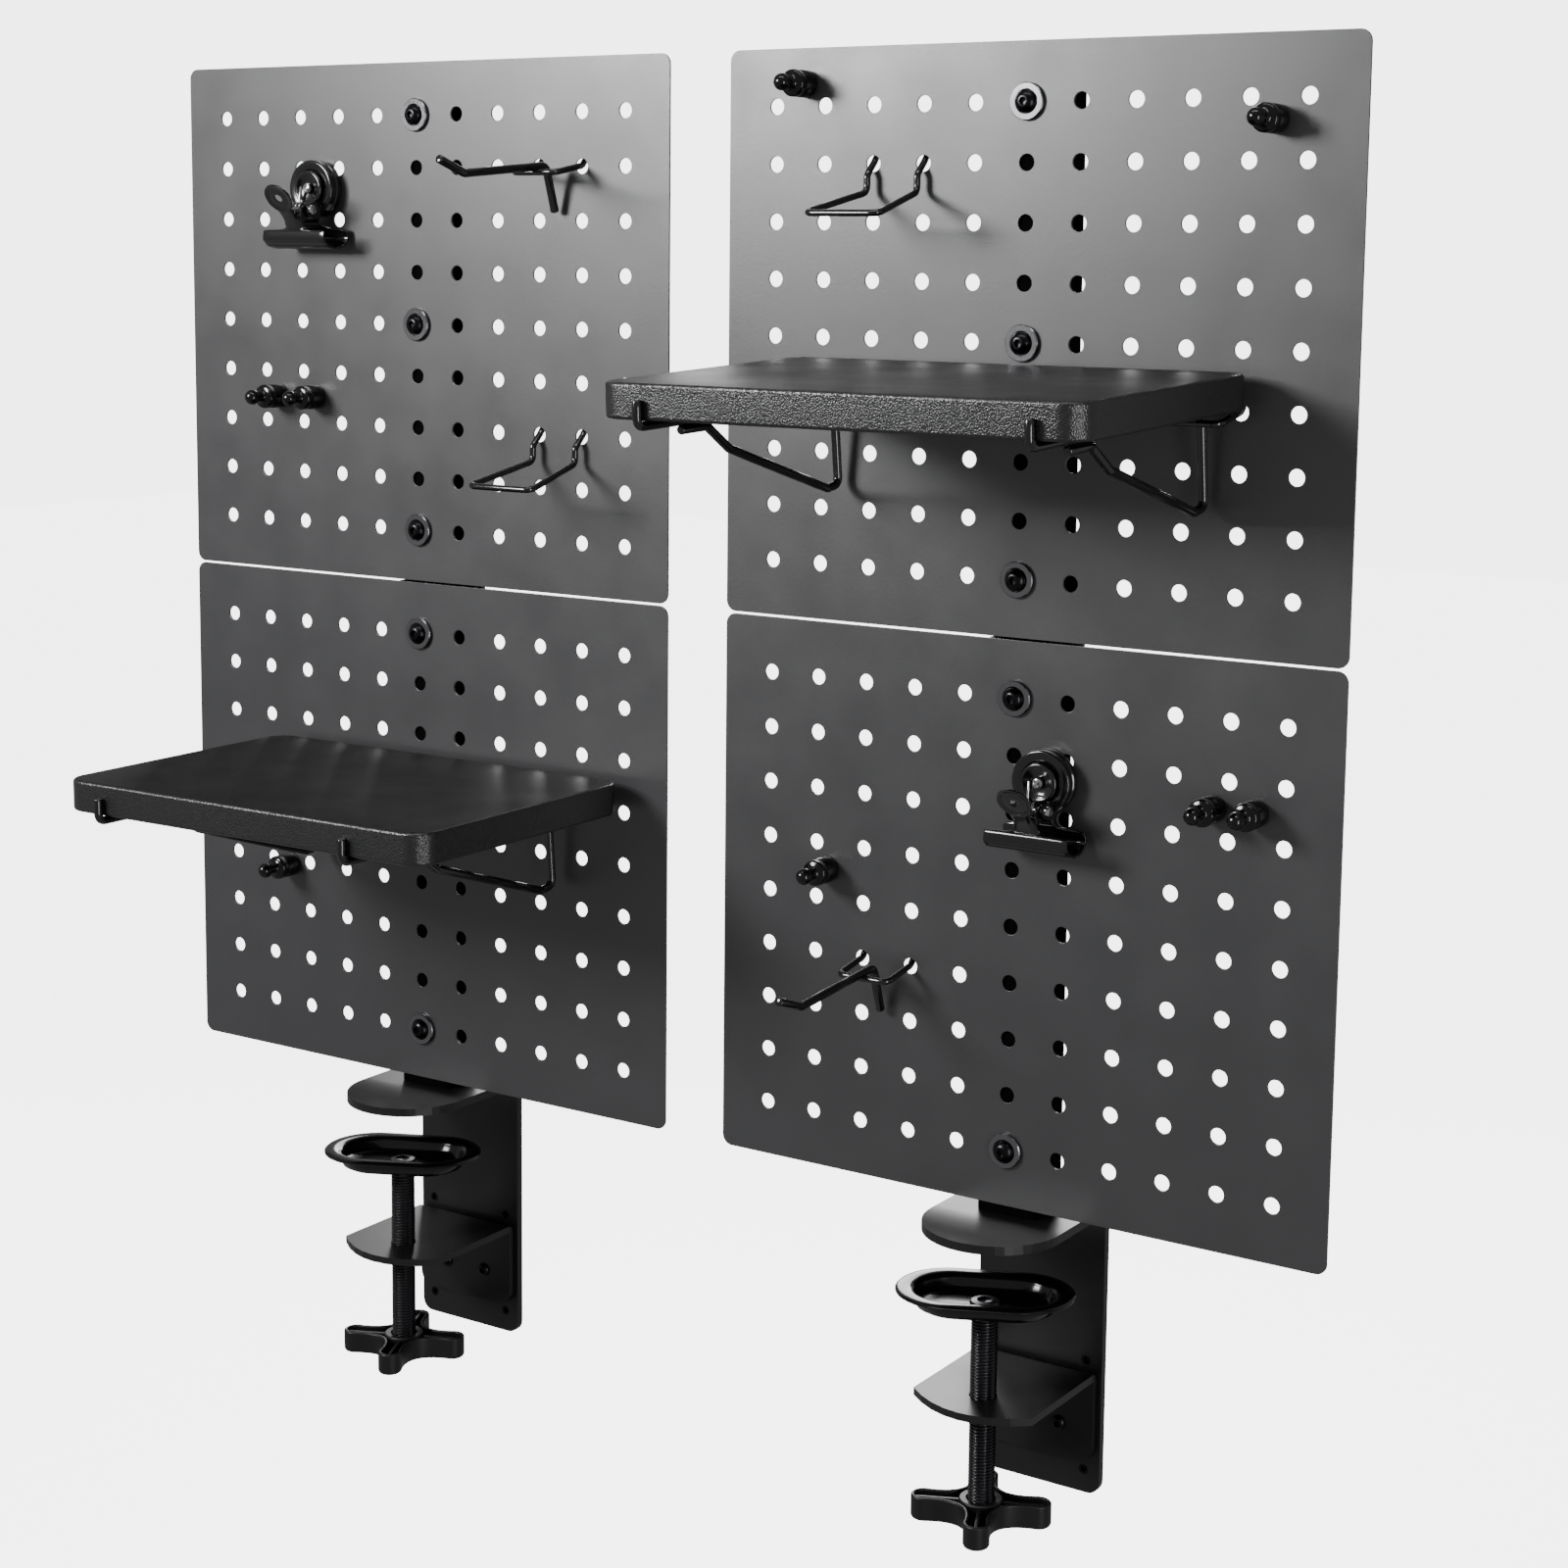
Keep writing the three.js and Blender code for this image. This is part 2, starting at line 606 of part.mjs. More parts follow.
// The front leaf ends in a round eyelet for the thumb above and the moving jaw below.
function frontLeaf(name) {
  const eyeletCentre = [-31, -5.3];
  const slope = 125; // degrees from +Y to the eyelet's direction, towards +Z
  const along = [Math.cos(radians(slope)), Math.sin(radians(slope))];
  const end = (reach) => [eyeletCentre[0] + reach * along[0], eyeletCentre[1] + reach * along[1]];
  const shin = [[-22, -15.5], [-19.6, -21.5], [-20.6, -24.8], [-17.5, -28], [-12, -29.4]];
  const line = [end(-clip.eyelet / 2 + 1), ...shin];
  const half = clip.jaw / 2;
  const jawBar = prism(roundedRectangle(-half, -31, half, -21.2, 2), -45, 0, "xz", 2);
  const neck = prism(rectangle(-clip.neck / 2 + 1, -24, clip.neck / 2 - 1, -6), -45, 0, "xz");
  const strip = common(prism(stripEdge(line, clip.sheet), -half, half, "yz"), unite(jawBar, neck));
  const eyelet = cut(rod(clip.eyelet, -clip.sheet / 2, clip.sheet / 2), rod(4, -2, 2, 8));
  const head = eyelet.rotate([slope - 180, 0, 0]).translate([0, ...eyeletCentre]);
  const nose = [[1.5, -2.8], [2.6, 0], [1.5, 2.6]].map(([y, z]) => [pivot.y + y, pivot.z + z]);
  const earShape = [[-21.8, -15.6], [-20.8, -18.6], ...nose, [-20.4, -11.4]];
  return namedMesh(name, unite(strip, head, ears(ear.front, earShape)), materials.clip);
}

function pivotPin(name) {
  const half = ear.rear + ear.thick / 2 + gap;
  const [shank, head] = [clipPin.diameter / 2, clipPin.head / 2];
  const profile = [
    [0, -half - clipPin.headThick],
    [head, -half - clipPin.headThick],
    [head, -half],
    [shank, -half],
    [shank, half],
    [head, half],
    [head, half + clipPin.headThick],
    [0, half + clipPin.headThick],
  ];
  return namedMesh(name, alongX(turned(profile, 8)).translate([0, pivot.y, pivot.z]), materials.rivet);
}

// A torsion spring wound round the pivot pin, its tails turned in against the leaves.
function clipSpring(name) {
  const stepsPerTurn = 8;
  const steps = spring.turns * stepsPerTurn;
  const points = Array.from({ length: steps + 1 }, (_, i) => {
    const angle = (2 * Math.PI * i) / stepsPerTurn;
    const x = -spring.halfLength + (2 * spring.halfLength * i) / steps;
    return new THREE.Vector3(x, pivot.y + spring.coil * Math.cos(angle), pivot.z + spring.coil * Math.sin(angle));
  });
  return namedMesh(name, tube(points, spring.wire, 4), materials.rivet);
}

// ---------------------------------------------------------------- assembly
// Where the accessories hang. Columns and rows are counted from a panel's upper left hole;
// loose magnets stand at an offset from that hole.
const towers = [
  {
    side: "left",
    bolts: { upper: [1, 5, 9], lower: [1, 9] },
    loopHook: { panel: "upper", column: 9.5, row: 7 },
    prongHook: { panel: "upper", column: 9.5, row: 2 },
    shelf: { panel: "lower", row: 4, brackets: [3.5, 9.5], boardX: 21.2, sag: 0.4 },
    pins: { upper: [[34.7, -140], [60.1, -139.7]], lower: [[38.8, -129]] },
    clip: { panel: "upper", at: [64.7, -35.5] },
  },
  {
    side: "right",
    bolts: { upper: [1, 5, 9], lower: [1, 9] },
    loopHook: { panel: "upper", column: 3.5, row: 2 },
    prongHook: { panel: "lower", column: 3.5, row: 6 },
    shelf: { panel: "upper", row: 6, brackets: [2.5, 9.5], boardX: -1.1, sag: 2.4 },
    pins: { upper: [[15.8, 9.6], [240.2, -9]], lower: [[221.9, -37.5], [241.3, -37.1], [32, -88]] },
    clip: { panel: "lower", at: [144.4, -34] },
  },
];

const panelZ = { upper: upperPanelZ, lower: lowerPanelZ };

function tower(plan) {
  const group = new THREE.Group();
  const label = (name) => `${name}_${plan.side}`;
  const boltZ = (where) => plan.bolts[where].map((row) => rowZ(panelZ[where], row));
  group.add(
    pegPanel(label("panel_upper"), upperPanelZ),
    pegPanel(label("panel_lower"), lowerPanelZ),
    postTube(label("post_upper"), seamZ + postSeam / 2, postTop, boltZ("upper")),
    postTube(label("post_lower"), jaw.thick + gap, seamZ - postSeam / 2, boltZ("lower")),
    seamJoiner(label("post_joiner")),
    postCap(label("post_cap")),
    clampFrame(label("clamp_frame")),
    clampArm(label("clamp_arm")),
    clampPad(label("clamp_pad")),
    clampSpindle(label("clamp_spindle")),
    clampKnob(label("clamp_knob")),
  );
  const heights = [...boltZ("upper"), ...boltZ("lower")];
  heights.forEach((z, i) => group.add(panelBolt(`${label("panel_bolt")}_${i + 1}`, z)));

  const hang = (mesh, { panel: where, column, row }) => placeOnPanel(mesh, column, rowZ(panelZ[where], row));
  group.add(hang(loopHookMesh(label("loop_hook")), plan.loopHook));
  group.add(hang(prongHookMesh(label("prong_hook")), plan.prongHook));
  group.add(shelf(plan, label));

  const corner = (where, [x, z]) => [columnX(1) + x, panelFront, rowZ(panelZ[where], 1) + z];
  const pinPlaces = [
    ...plan.pins.upper.map((at) => corner("upper", at)),
    ...plan.pins.lower.map((at) => corner("lower", at)),
  ];
  pinPlaces.forEach((at, i) => {
    const mesh = magnetPin(`${label("magnet_pin")}_${i + 1}`);
    mesh.position.set(...at);
    group.add(mesh);
  });

  const clipGroup = new THREE.Group();
  clipGroup.position.set(...corner(plan.clip.panel, plan.clip.at));
  clipGroup.add(
    magnetCup(label("clip_magnet")),
    rearLeaf(label("clip_rear_leaf")),
    frontLeaf(label("clip_front_leaf")),
    pivotPin(label("clip_pivot")),
    clipSpring(label("clip_spring")),
  );
  group.add(clipGroup);
  return group;
}

// A shelf's two brackets and its board sag together about the row that they hang in.
function shelf({ shelf: plan }, label) {
  const group = new THREE.Group();
  group.position.set(0, panelFront, rowZ(panelZ[plan.panel], plan.row));
  group.rotation.x = radians(plan.sag);
  plan.brackets.forEach((column, i) => {
    const mesh = bracketMesh(`${label("shelf_bracket")}_${i + 1}`);
    mesh.position.x = columnX(column);
    group.add(mesh);
  });
  const top = boardMesh(label("shelf_board"));
  top.position.x = plan.boardX;
  group.add(top);
  return group;
}

const wall = new THREE.Group();
towers.forEach((plan) => {
  const group = tower(plan);
  group.position.x = plan.side === "left" ? -towerPitch / 2 : towerPitch / 2;
  wall.add(group);
});

export default wall;
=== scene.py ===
# Looks for the desk-clamped pegboard tool wall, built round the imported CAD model.
# Lengths are in millimetres in the CAD frame and are turned into metres when a mesh is made.
# The lamps and the camera are placed in metres.
import json
import math

import bpy
from mathutils import Matrix, Vector


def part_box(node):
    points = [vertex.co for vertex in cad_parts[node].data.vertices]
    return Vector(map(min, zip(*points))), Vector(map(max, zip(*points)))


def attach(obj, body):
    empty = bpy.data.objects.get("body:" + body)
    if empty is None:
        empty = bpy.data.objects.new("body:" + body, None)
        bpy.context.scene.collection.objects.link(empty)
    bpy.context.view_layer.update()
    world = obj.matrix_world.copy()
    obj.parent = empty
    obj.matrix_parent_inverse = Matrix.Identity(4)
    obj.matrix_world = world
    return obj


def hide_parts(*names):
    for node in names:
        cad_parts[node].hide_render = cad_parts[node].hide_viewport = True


MM = 0.001
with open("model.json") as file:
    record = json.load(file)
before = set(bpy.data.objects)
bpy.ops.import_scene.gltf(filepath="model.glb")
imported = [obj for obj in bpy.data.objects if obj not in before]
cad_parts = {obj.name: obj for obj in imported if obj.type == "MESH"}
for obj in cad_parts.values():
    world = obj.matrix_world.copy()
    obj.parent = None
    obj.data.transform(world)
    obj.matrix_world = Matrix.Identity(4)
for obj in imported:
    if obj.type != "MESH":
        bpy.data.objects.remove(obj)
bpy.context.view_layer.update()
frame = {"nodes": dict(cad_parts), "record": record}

record = frame["record"]
BODY_OF = {node: body for body, nodes in record["behaviour"]["bodies"].items() for node in nodes}
SLOT_OF = {part["node"]: part["material_slot"] for part in record["subparts"]}

# ---------------------------------------------------------------- sizes, as in the CAD model
TOWER_X = {"left": -169.2, "right": 169.2}
PANEL_FRONT = -36.5
PANEL_Z = {"upper": 263.5, "lower": 8.5}
PANEL_SIZE = (304.8, 254.0)
PITCH = 25.4
COLUMNS, ROWS = 11, 9
SHEET = 1.0
HOLE = 7.2
HOLE_SIDES = 32
MIDDLE_COLUMN = (COLUMNS + 1) / 2
SPINDLE_Y = -52.5
PAD_TOP = -25.0
KNOB_TOP = -122.0
TURN = math.radians(25)
ARM_TOP = -74.2
FLANGE_SCREW_X, FLANGE_SCREW_DROP = (-12.5, 12.5), 27
TAPPED_HOLES = ((-24, -70), (24, -70), (-24, -122), (24, -122))
HOOK_WIRE, RAIL_WIRE = 3, 4
HOOK_BEND, RAIL_BEND = 4, 4.5
BOARD_WIDTH, BOARD_DEPTH, BOARD_THICK = 222, 148, 15
BOARD_BACK, BOARD_SEAT = -6, 2
RAKE = {"left": math.radians(0.4), "right": math.radians(2.4)}
BOLTS = (("upper", 1), ("upper", 5), ("upper", 9), ("lower", 1), ("lower", 9))

# a clip's pivot and the middle of its eyelet as (y, z) from where the magnet's middle meets the
# panel, and the eyelet's lean
PIVOT = (-16, -10.5)
EYELET = (-31, -5.3)
SLOPE = math.radians(125)

# uneven gloss comes in patches about this wide
PATCH = 35.7
# how brightly the floor and the backdrop shine, for the eye alone
BACKDROP_STRENGTH = 4.5


def hole_at(side, panel, column, row):
    """A hole's place on a panel's front face; halves lie midway between two holes."""
    x = TOWER_X[side] + (column - MIDDLE_COLUMN) * PITCH
    return Vector((x, PANEL_FRONT, PANEL_Z[panel] + PANEL_SIZE[1] - row * PITCH))


# ---------------------------------------------------------------- materials
def linear(hex_code):
    """An sRGB hex colour as linear values."""
    channels = [int(hex_code[i : i + 2], 16) / 255 for i in (1, 3, 5)]
    return [c / 12.92 if c <= 0.04045 else ((c + 0.055) / 1.055) ** 2.4 for c in channels] + [1.0]


def add(tree, kind, inputs=None, **settings):
    """A shader node with its settings made, and each input a value or another node's socket."""
    node = tree.nodes.new(kind)
    for name, value in settings.items():
        setattr(node, name, value)
    for name, value in (inputs or {}).items():
        if isinstance(value, bpy.types.NodeSocket):
            tree.links.new(value, node.inputs[name])
        else:
            node.inputs[name].default_value = value
    return node


def surface(
    name,
    colour,
    roughness,
    metallic=0.0,
    specular=0.5,
    coat=0.0,
    grain=(),
    patchy=0.0,
    pores=None,
):
    """A material with a grained surface. Each grain, and the pores, are (size, height) in mm."""
    material = bpy.data.materials.new(name)
    material.use_nodes = True
    tree = material.node_tree
    shader = tree.nodes["Principled BSDF"]
    shader.inputs["Base Color"].default_value = linear(colour)
    shader.inputs["Roughness"].default_value = roughness
    shader.inputs["Metallic"].default_value = metallic
    shader.inputs["Specular IOR Level"].default_value = specular
    shader.inputs["Coat Weight"].default_value = coat
    shader.inputs["Coat Roughness"].default_value = 0.12
    place = add(tree, "ShaderNodeTexCoord").outputs["Object"]
    if patchy:
        scale = 1 / (PATCH * MM)
        cloud = add(tree, "ShaderNodeTexNoise", {"Vector": place, "Scale": scale, "Detail": 3.0})
        spread = add(
            tree,
            "ShaderNodeMapRange",
            {
                "Value": cloud.outputs["Fac"],
                "From Min": 0.3,
                "From Max": 0.7,
                "To Min": roughness - patchy,
                "To Max": roughness + patchy,
            },
        )
        tree.links.new(spread.outputs["Result"], shader.inputs["Roughness"])
    normal = None
    if pores:
        size, height = pores
        scale = 1 / (size * MM)
        cells = add(tree, "ShaderNodeTexVoronoi", {"Vector": place, "Scale": scale}, feature="F1")
        crease = add(
            tree,
            "ShaderNodeMapRange",
            {"Value": cells.outputs["Distance"], "From Max": 0.8, "To Min": 1.0, "To Max": 0.0},
        )
        inputs = {"Height": crease.outputs["Result"], "Distance": height * MM}
        bump = add(tree, "ShaderNodeBump", inputs)
        normal = bump.outputs["Normal"]
    for size, height in grain:
        scale = 1 / (size * MM)
        noise = add(tree, "ShaderNodeTexNoise", {"Vector": place, "Scale": scale, "Detail": 2.0})
        inputs = {"Height": noise.outputs["Fac"], "Distance": height * MM}
        if normal:
            inputs["Normal"] = normal
        normal = add(tree, "ShaderNodeBump", inputs).outputs["Normal"]
    if normal:
        tree.links.new(normal, shader.inputs["Normal"])
    return material


MATERIALS = {
    # charcoal powder coat on 1 mm steel sheet: an even satin with a fine orange peel
    "panel": surface(
        "charcoal_powder_coat",
        "#2d2d2f",
        0.37,
        specular=1.0,
        grain=[(0.45, 0.02), (1.6, 0.02)],
        patchy=0.035,
    ),
    # satin black powder coat on the posts and clamps: a soft sheen along the bends
    "frame": surface(
        "satin_black_powder_coat", "#0c0c0d", 0.38, specular=0.55, grain=[(0.5, 0.012)], patchy=0.03
    ),
    # stoved gloss enamel on the pressed pads: sharp reflections on the rolled rims
    "pad_enamel": surface("gloss_black_enamel", "#060607", 0.16, specular=0.5, grain=[(2.5, 0.01)]),
    # moulded nylon, lightly sparked in the mould: a dull even black on knobs and plugs
    "knob": surface("moulded_black_nylon", "#0d0d0e", 0.42, specular=0.45, grain=[(0.35, 0.01)]),
    "cap": surface("moulded_black_nylon_cap", "#0f0f10", 0.5, specular=0.45, grain=[(0.35, 0.01)]),
    # black-oxide steel with a film of oil, on the bolts and small screws: dark, with glints
    "screw": surface("black_oxide_steel", "#2a2a2c", 0.26, metallic=1.0, patchy=0.05),
    # dipped gloss coating on drawn wire: thin bright lines along its length
    "wire": surface("gloss_black_coated_wire", "#050506", 0.14, specular=0.9, grain=[(3.0, 0.012)]),
    # smooth black laminate on the boards' faces: nearly matte, a little uneven
    "board": surface(
        "black_laminate", "#040405", 0.55, specular=0.2, grain=[(0.4, 0.008)], patchy=0.04
    ),
    # gloss ABS moulded over a magnet: small round highlights
    "pin": surface("gloss_black_abs", "#060607", 0.13, specular=0.5, grain=[(2.0, 0.006)]),
    # lacquered spring steel and pressed cup: a deep gloss
    "clip": surface("black_lacquered_spring_steel", "#08080a", 0.15, specular=0.7, coat=0.4),
    # bright nickel plate on the screw head in each cup
    "rivet": surface("bright_nickel_plate", "#c9c9cb", 0.16, metallic=1.0),
}
# leather-grained edge banding round the boards: highlights broken up by its pores
EDGING = surface(
    "leather_grain_edging", "#0f0f10", 0.3, specular=0.8, grain=[(0.35, 0.02)], pores=(0.7, 0.12)
)
# pressed washers, plated and smoked: a bright ring round each bolt
WASHER = surface("smoked_plated_washer", "#848487", 0.2, metallic=1.0, patchy=0.05)
# blackened steel worn bright on the crests of the thread
THREAD = surface("worn_blackened_thread", "#4c4c4f", 0.28, metallic=1.0, patchy=0.05)
# painted shade: a near-black matte on the posts' fronts and sides, which the panels hide, so the
# holes over the posts show as dark as shadow
POST_SHADE_BLACK = surface(
    "painted_shade_black", "#020202", 0.85, specular=0.05, grain=[(0.5, 0.01)]
)


# ---------------------------------------------------------------- meshes
def make(name, points, faces, matrix=None, crisp=35):
    """A mesh object from points in millimetres, smooth but for edges sharper than crisp degrees."""
    mesh = bpy.data.meshes.new(name)
    move = matrix or Matrix.Identity(4)
    mesh.from_pydata([(move @ Vector(p)) * MM for p in points], [], faces)
    mesh.update()
    mesh.shade_smooth()
    mesh.set_sharp_from_angle(angle=math.radians(crisp))
    obj = bpy.data.objects.new(name, mesh)
    bpy.context.scene.collection.objects.link(obj)
    return obj


def stand_in(obj, *nodes, material=None):
    """obj is shown in place of these CAD nodes, and moves and is painted as the first of them."""
    obj.data.materials.append(material or MATERIALS[SLOT_OF[nodes[0]]])
    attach(obj, BODY_OF[nodes[0]])
    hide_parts(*nodes)
    return obj


def detail(obj, node, slot, material=None):
    """obj is a small piece that moves with a CAD node and has no solid of its own."""
    obj.data.materials.append(material or MATERIALS[slot])
    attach(obj, BODY_OF[node])
    return obj


def weighted(obj):
    """The object with its flat faces shaded flat up to their rounded edges."""
    obj.modifiers.new("flat faces stay flat", "WEIGHTED_NORMAL").keep_sharp = True
    return obj


def applied(obj):
    """The object with its modifiers made part of its mesh."""
    graph = bpy.context.evaluated_depsgraph_get()
    mesh = bpy.data.meshes.new_from_object(obj.evaluated_get(graph))
    obj.modifiers.clear()
    obj.data = mesh
    return obj


def joined(parts):
    """Several mesh objects as one, with the first one's name."""
    chosen = {"active_object": parts[0], "object": parts[0], "selected_editable_objects": parts}
    with bpy.context.temp_override(**chosen):
        bpy.ops.object.join()
    return parts[0]


FACING_USER = Matrix.Rotation(math.radians(90), 4, "X")
ALONG_X = Matrix.Rotation(math.radians(90), 4, "Y")


def at(x, y, z):
    return Matrix.Translation(Vector((x, y, z)))


def tube_rings(name, rings, matrix=None, crisp=35, closed_ends=True):
    """Rings with as many points each, skinned one to the next."""
    count = len(rings[0])
    points = [p for ring in rings for p in ring]
    faces = []
    for i in range(len(rings) - 1):
        for k in range(count):
            n = (k + 1) % count
            faces.append((i * count + k, i * count + n, (i + 1) * count + n, (i + 1) * count + k))
    if closed_ends:
        faces.append(tuple(reversed(range(count))))
        faces.append(tuple(range(len(points) - count, len(points))))
    return make(name, points, faces, matrix, crisp)


def circle(radius, height, count=48):
    turns = [2 * math.pi * k / count for k in range(count)]
    return [(radius * math.cos(turn), radius * math.sin(turn), height) for turn in turns]


def turned(name, profile, matrix=None, count=48, crisp=35, closed_ends=True):
    """A turned piece from (radius, height) pairs, bottom to top."""
    return tube_rings(name, [circle(r, h, count) for r, h in profile], matrix, crisp, closed_ends)


def arc(cx, cy, radius, start, end, steps=6):
    """Points on an arc in degrees."""
    turns = [math.radians(start + (end - start) * i / steps) for i in range(steps + 1)]
    return [(cx + radius * math.cos(t), cy + radius * math.sin(t)) for t in turns]


def rounded(x0, y0, x1, y1, radius, steps=8):
    return (
        arc(x1 - radius, y0 + radius, radius, -90, 0, steps)
        + arc(x1 - radius, y1 - radius, radius, 0, 90, steps)
        + arc(x0 + radius, y1 - radius, radius, 90, 180, steps)
        + arc(x0 + radius, y0 + radius, radius, 180, 270, steps)
    )


def plate(name, outlines, thickness, edge, matrix=None, edge_steps=2):
    """A flat piece centred on its own thickness, its edges rounded: an outline, then its holes'."""
    curve = bpy.data.curves.new(name, "CURVE")
    curve.dimensions = "2D"
    curve.fill_mode = "BOTH"
    curve.extrude = (thickness / 2 - edge) * MM
    curve.bevel_depth = edge * MM
    curve.bevel_resolution = edge_steps
    curve.offset = -edge * MM
    for outline in outlines:
        spline = curve.splines.new("POLY")
        spline.points.add(len(outline) - 1)
        for point, (x, y) in zip(spline.points, outline):
            point.co = (x * MM, y * MM, 0, 1)
        spline.use_cyclic_u = True
    source = bpy.data.objects.new(name, curve)
    bpy.context.scene.collection.objects.link(source)
    mesh = meshed(source, name)
    move = (matrix or Matrix.Identity(4)).copy()
    move.translation = move.translation * MM
    mesh.transform(move)
    obj = bpy.data.objects.new(name, mesh)
    bpy.context.scene.collection.objects.link(obj)
    return weighted(obj)


def meshed(source, name):
    """A curve object's shape as a smooth mesh; the curve is thrown away."""
    graph = bpy.context.evaluated_depsgraph_get()
    mesh = bpy.data.meshes.new_from_object(source.evaluated_get(graph))
    curve = source.data
    bpy.data.objects.remove(source)
    bpy.data.curves.remove(curve)
    mesh.name = name
    mesh.materials.clear()
    mesh.shade_smooth()
    mesh.set_sharp_from_angle(angle=math.radians(40))
    return mesh


def bent(corners, radius, steps=8):
    """Corners joined by straight stretches, each bend eased by an arc of about that radius."""
    at_corner = [Vector(c) for c in corners]
    points = [at_corner[0]]
    for before, here, after in zip(at_corner, at_corner[1:], at_corner[2:]):
        into, out = here - before, after - here
        half_turn = into.angle(out) / 2
        reach = min(radius * math.tan(half_turn), into.length * 0.45, out.length * 0.45)
        start, end = here - into.normalized() * reach, here + out.normalized() * reach
        for i in range(steps + 1):
            t = i / steps
            points.append((1 - t) ** 2 * start + 2 * t * (1 - t) * here + t**2 * end)
    return points + [at_corner[-1]]


def wire(name, corners, diameter, bend, matrix=None):
    """A bent wire with domed ends."""
    return tube(name, bent(corners, bend), diameter, matrix)


# a domed end's sections: each one's share of the radius, and how far in it is
DOME = ((0.6, 0.0), (0.9, 0.12), (1.0, 0.35))


def tube(name, points, diameter, matrix=None, sides=20):
    """A round tube through the points, its section carried along without twisting."""
    radius = diameter / 2
    runs = [(b - a).normalized() for a, b in zip(points, points[1:])]
    between = [(a + b).normalized() for a, b in zip(runs, runs[1:])]
    tangents = [runs[0], *between, runs[-1]]
    sections = [[(1.0, 0.0)] for _ in points]
    sections[0] = DOME
    sections[-1] = [(share, -inward) for share, inward in reversed(DOME)]
    side = tangents[0].orthogonal().normalized()
    rings = []
    for point, tangent, here in zip(points, tangents, sections):
        side = (side - tangent * side.dot(tangent)).normalized()
        up = tangent.cross(side)
        spokes = [side * x + up * y for x, y, _ in circle(1, 0, sides)]
        for share, shift in here:
            middle = point + tangent * (radius * shift)
            rings.append([middle + spoke * (radius * share) for spoke in spokes])
    return tube_rings(name, rings, matrix, 50)


# ---------------------------------------------------------------- panels
def peg_panel(side, level):
    """A perforated sheet with round corners, one hole left open at each place of the grid."""
    width, height = PANEL_SIZE
    low = PANEL_Z[level]
    left = TOWER_X[side] - width / 2
    outlines = [rounded(left, low, left + width, low + height, 5, 10)]
    for row in range(1, ROWS + 1):
        for column in range(1, COLUMNS + 1):
            x, _, z = hole_at(side, level, column, row)
            outlines.append(arc(x, z, HOLE / 2, 0, 360 - 360 / HOLE_SIDES, HOLE_SIDES - 1))
    # the outline's own y is the CAD frame's Z, and its thickness lies along Y
    matrix = at(0, PANEL_FRONT + SHEET / 2, 0) @ FACING_USER
    sheet = plate(f"peg_panel_{level}_{side}", outlines, SHEET, 0.15, matrix)
    return stand_in(sheet, f"panel_{level}_{side}")


# ---------------------------------------------------------------- bolts
def hexagon(across_flats, height, count=48):
    """A six-sided ring with as many points as a circle."""
    ring = []
    for k in range(count):
        turn = 2 * math.pi * k / count
        off = (turn % (math.pi / 3)) - math.pi / 6
        reach = across_flats / 2 / math.cos(off)
        ring.append((reach * math.cos(turn), reach * math.sin(turn), height))
    return ring


def button_screw(name, matrix, head, height, socket, shank, length):
    """A domed head with a hexagon socket, on a plain shank below height 0."""
    lip = 0.2
    spring, crown = 8, 62
    widest, highest = math.cos(math.radians(spring)), math.sin(math.radians(crown))
    rings = [circle(shank / 2, -length), circle(shank / 2, 0)]
    rings += [circle(head / 2 - 0.15, 0), circle(head / 2, lip)]
    for x, y in arc(0, 0, 1, spring, crown, 7):
        rings.append(circle(head / 2 * x / widest, lip + (height - lip) * y / highest))
    rings += [hexagon(socket + 0.25, height), hexagon(socket, height - 0.2)]
    rings += [hexagon(socket, height - 1.5), circle(0.02, height - 1.7)]
    return tube_rings(name, rings, matrix, 30)


def panel_bolt(side, level, row, number):
    """A socket screw and its dished washer, over a hole of the middle column."""
    node = f"panel_bolt_{side}_{number}"
    matrix = at(*hole_at(side, level, MIDDLE_COLUMN, row)) @ FACING_USER
    washer = [(5.2, 0.3), (7.75, 0.3), (8, 0.6), (8, 1.45), (7.6, 1.9), (5.4, 1.9)]
    washer += [(5.2, 1.7), (5.2, 0.3)]
    ring = turned(f"washer_{side}_{number}", washer, matrix, 64, 25, False)
    detail(ring, node, "screw", WASHER)
    raised = matrix @ at(0, 0, 1.5)
    sizes = {"head": 9.8, "height": 3.3, "socket": 3.0, "shank": 5.0, "length": 8.0}
    return stand_in(button_screw(f"bolt_{side}_{number}", raised, **sizes), node)


# ---------------------------------------------------------------- clamp
def oval(straight, radius, height, quarter=10):
    """A stadium's outline with as many points whatever its size."""
    right = arc(straight, 0, radius, -90, 90, 2 * quarter)
    left = arc(-straight, 0, radius, 90, 270, 2 * quarter)
    return [(x, y, height) for x, y in right + left]


